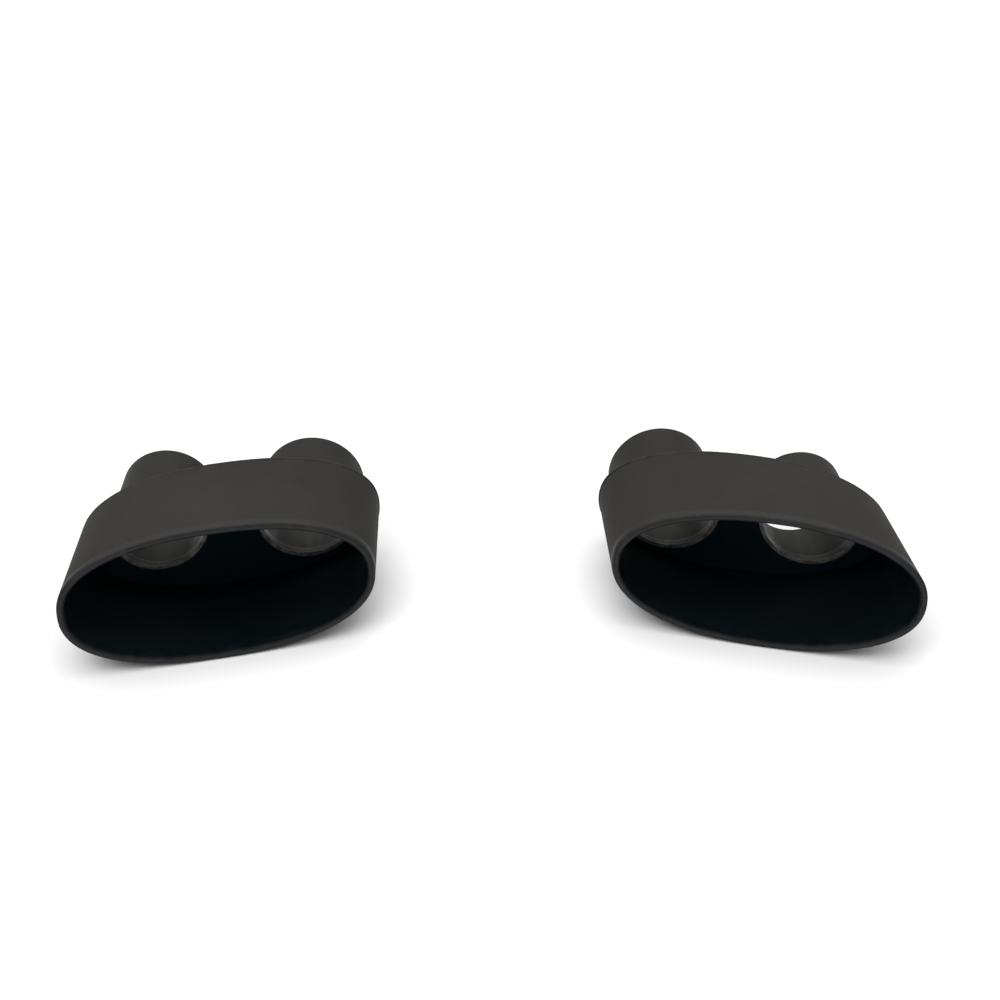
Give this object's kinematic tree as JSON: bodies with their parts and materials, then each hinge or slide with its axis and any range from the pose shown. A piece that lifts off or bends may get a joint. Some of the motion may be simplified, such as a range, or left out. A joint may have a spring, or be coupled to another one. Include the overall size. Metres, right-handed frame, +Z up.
{
  "type": "exhaust tip pair",
  "caption": "Pair of matte black oval exhaust tips, each a double-walled slanted sleeve with a rolled lip, a back plate and twin round inlet tubes.",
  "frame": {"origin": "on the floor at the bottom centre of the pair's box", "axes": "+X to the right tip when looking into the mouths from the front, +Y rearwards to the inlet tubes, +Z up"},
  "size_m": [0.5388, 0.183, 0.0947],
  "materials": {
    "sleeve_coat": "matte black powder coat with a fine grain",
    "lip_coat": "matte black powder coat, slightly smoother where the edge is rolled",
    "liner_enamel": "satin blue-black heat-resistant enamel",
    "plate_enamel": "satin blue-black heat-resistant enamel",
    "tube_steel": "dull grey stainless steel inside, matte black coat outside",
    "collar_steel": "bare satin stainless steel",
    "weld_bead": "rippled weld bead under a thin black coat"
  },
  "bodies": {
    "left_tip": {"left_outer_sleeve": "sleeve_coat", "left_rolled_lip": "lip_coat", "left_inner_liner": "liner_enamel", "left_rear_seam_weld": "sleeve_coat", "left_back_plate": "plate_enamel", "left_inboard_inlet_tube": "tube_steel", "left_inboard_inlet_collar": "collar_steel", "left_inboard_tube_weld": "weld_bead", "left_outboard_inlet_tube": "tube_steel", "left_outboard_inlet_collar": "collar_steel", "left_outboard_tube_weld": "weld_bead"},
    "right_tip": {"right_outer_sleeve": "sleeve_coat", "right_rolled_lip": "lip_coat", "right_inner_liner": "liner_enamel", "right_rear_seam_weld": "sleeve_coat", "right_back_plate": "plate_enamel", "right_inboard_inlet_tube": "tube_steel", "right_inboard_inlet_collar": "collar_steel", "right_inboard_tube_weld": "weld_bead", "right_outboard_inlet_tube": "tube_steel", "right_outboard_inlet_collar": "collar_steel", "right_outboard_tube_weld": "weld_bead"}
  },
  "joints": [
    {"name": "pair_spacing", "type": "slide", "parent": "left_tip", "child": "right_tip", "axis": [1, 0, 0], "range_m": [-0.1, 0.3]}
  ]
}
